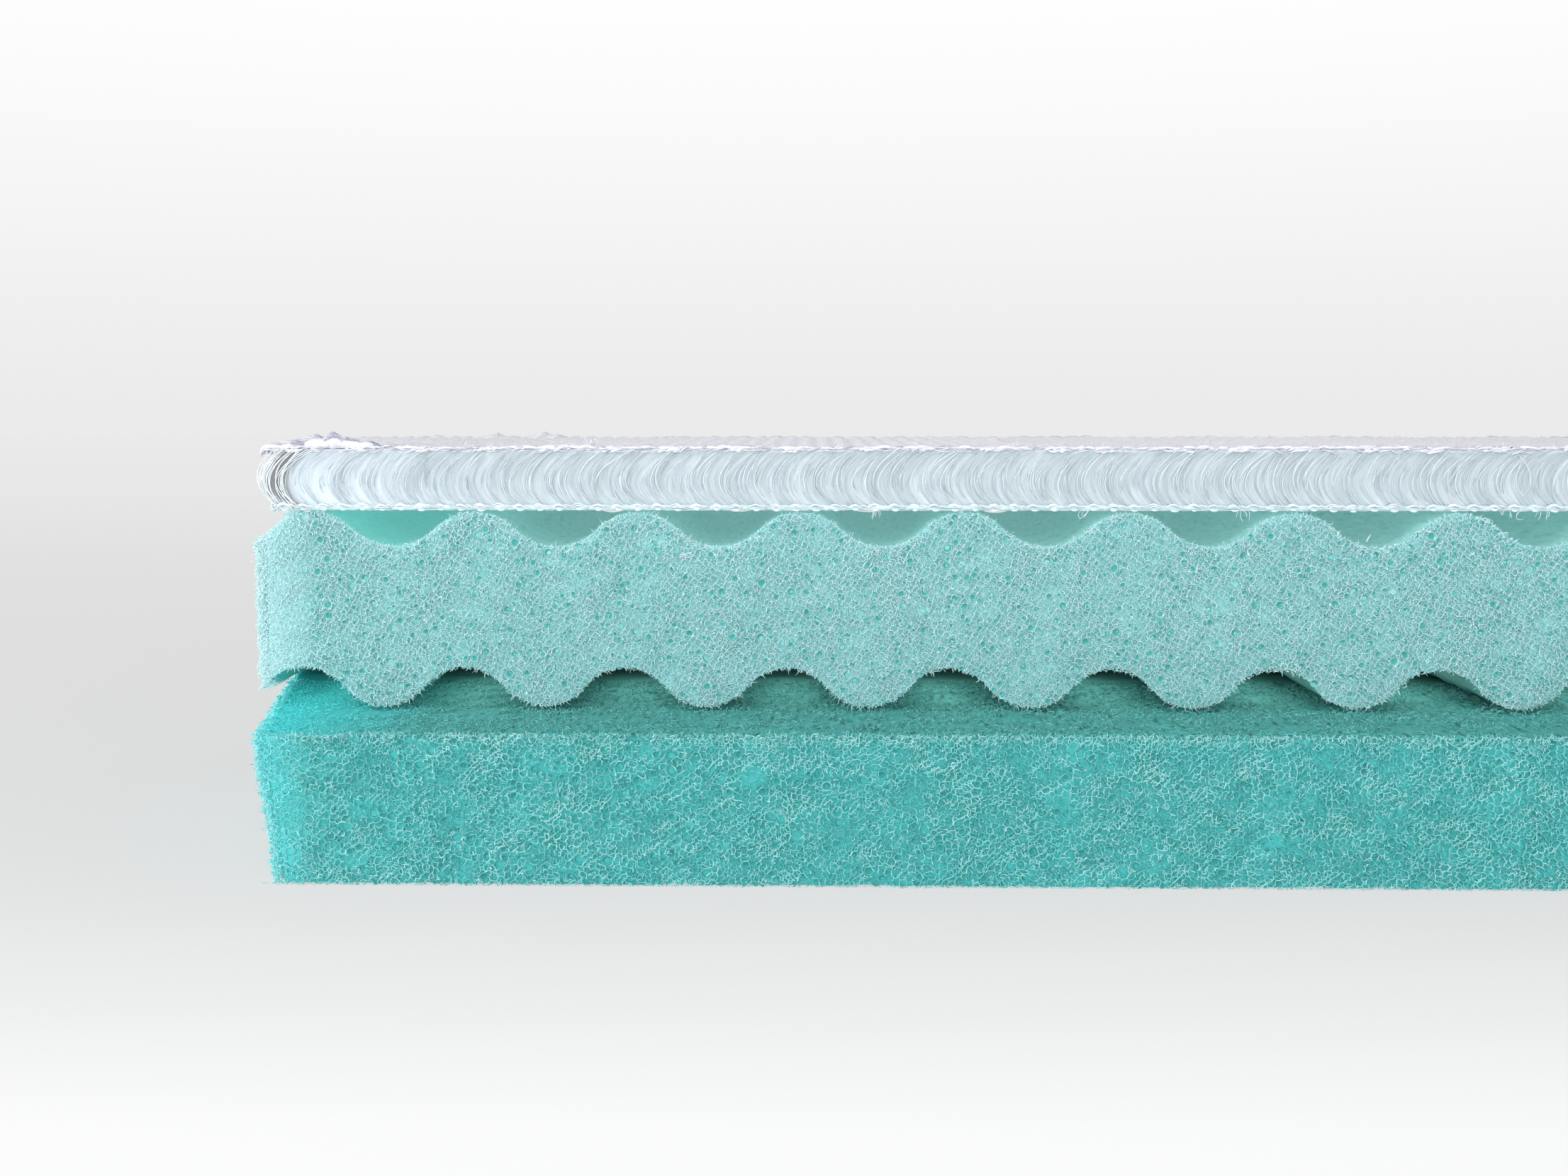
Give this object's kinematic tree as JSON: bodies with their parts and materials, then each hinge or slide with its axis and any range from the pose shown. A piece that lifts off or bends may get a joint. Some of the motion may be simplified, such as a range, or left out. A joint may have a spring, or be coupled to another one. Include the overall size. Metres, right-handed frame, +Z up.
{
  "type": "foam mattress core section",
  "caption": "Cut section through a layered foam mattress core: open-cell base slab, wave-profiled foam slab and knitted spacer fabric, stacked loose with no cover.",
  "frame": {"origin": "middle of the underside of the base slab", "axes": "+X along the length, across the waves; +Y towards the back; +Z up through the layers. The front face, with the cut cells of all three layers, looks along -Y"},
  "size_m": [0.2715, 0.0955, 0.0641],
  "materials": {
    "base_foam": "open-cell polyurethane foam, turquoise, matt",
    "wave_foam": "open-cell polyurethane foam, mint, matt",
    "spacer_knit": "white polyester knit, soft satin",
    "spacer_pile": "clear white polyester monofilament, satin"
  },
  "bodies": {
    "base": {"base_foam": "base_foam"},
    "wave_layer": {"wave_foam": "wave_foam"},
    "spacer": {"spacer_under_knit": "spacer_knit", "spacer_pile": "spacer_pile"},
    "spacer_top": {"spacer_top_knit": "spacer_knit"}
  },
  "joints": [
    {"name": "wave_layer_lift", "type": "slide", "parent": "base", "child": "wave_layer", "axis": [0, 0, 1], "range_m": [0, 0.08]},
    {"name": "spacer_lift", "type": "slide", "parent": "wave_layer", "child": "spacer", "axis": [0, 0, 1], "range_m": [0, 0.08]},
    {"name": "spacer_press", "type": "slide", "parent": "spacer", "child": "spacer_top", "axis": [0, 0, -1], "range_m": [0, 0.004], "stiffness_N_per_m": 10000, "deforming": ["spacer_pile"]}
  ]
}
